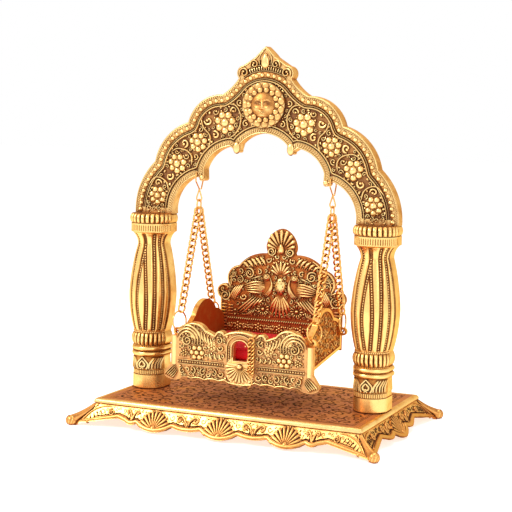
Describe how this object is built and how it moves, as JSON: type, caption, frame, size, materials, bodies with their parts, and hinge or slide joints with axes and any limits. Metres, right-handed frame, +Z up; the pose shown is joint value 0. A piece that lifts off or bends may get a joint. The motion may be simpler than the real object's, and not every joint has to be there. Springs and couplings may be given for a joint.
{
  "type": "jhoola swing",
  "caption": "Small cast metal swing for a household deity: a footed tray, pillars and a lobed arch carry a cushioned seat on link chains.",
  "frame": {"origin": "middle of the footprint on the surface the four ball feet stand on", "axes": "+Z up, +X to the right as the seat's front is seen, +Y from the open front of the seat to its tall back"},
  "size_m": [0.2262, 0.1532, 0.262],
  "materials": {
    "cast_gold": "cast relief with an antique gold lacquer, dark in its recesses",
    "wire_brass": "bent brass wire, gold plated and a little darkened",
    "screw_steel": "plain zinc plated steel",
    "cushion_cloth": "bright red plain cloth over soft filling"
  },
  "bodies": {
    "stand": {"base_tray": "cast_gold", "base_screws": "screw_steel", "pillar_left": "cast_gold", "pillar_right": "cast_gold", "arch": "cast_gold", "hook_left": "wire_brass", "hook_right": "wire_brass"},
    "top_link_l": {"top_link_left": "wire_brass"},
    "top_link_r": {"top_link_right": "wire_brass"},
    "chains_l": {"chain_front_left": "wire_brass", "chain_back_left": "wire_brass", "ring_front_left": "wire_brass", "ring_back_left": "wire_brass"},
    "chains_r": {"chain_front_right": "wire_brass", "chain_back_right": "wire_brass", "ring_front_right": "wire_brass", "ring_back_right": "wire_brass"},
    "seat": {"seat_front": "cast_gold", "seat_back": "cast_gold", "seat_left": "cast_gold", "seat_right": "cast_gold", "seat_floor": "cast_gold", "cushion": "cushion_cloth", "pull_clip": "wire_brass"},
    "pull": {"pull_chain": "wire_brass", "pull_hook": "wire_brass"}
  },
  "joints": [
    {"name": "swing_left", "type": "hinge", "parent": "stand", "child": "top_link_l", "pos_m": [-0.05029, 0, 0.15348], "axis": [1, 0, 0], "range_deg": [-30, 30]},
    {"name": "swing_right", "type": "hinge", "parent": "stand", "child": "top_link_r", "pos_m": [0.05029, 0, 0.15348], "axis": [1, 0, 0], "range_deg": [-30, 30]},
    {"name": "sway_left", "type": "hinge", "parent": "top_link_l", "child": "chains_l", "pos_m": [-0.05029, 0, 0.1484], "axis": [0, 1, 0], "range_deg": [-6, 6]},
    {"name": "sway_right", "type": "hinge", "parent": "top_link_r", "child": "chains_r", "pos_m": [0.05029, 0, 0.1484], "axis": [0, 1, 0], "range_deg": [-6, 6]},
    {"name": "seat_level", "type": "hinge", "parent": "chains_l", "child": "seat", "pos_m": [-0.05029, 0, 0.0645], "axis": [0, 1, 0], "range_deg": [-6, 6]},
    {"name": "pull_chain_sway", "type": "hinge", "parent": "seat", "child": "pull", "pos_m": [0.00942, -0.03915, 0.06509], "axis": [0, 1, 0], "range_deg": [-45, 45]}
  ],
  "couplings": [
    {"joint": "swing_right", "follows": "swing_left", "ratio": 1},
    {"joint": "sway_right", "follows": "sway_left", "ratio": 1},
    {"joint": "seat_level", "follows": "sway_left", "ratio": -1}
  ]
}
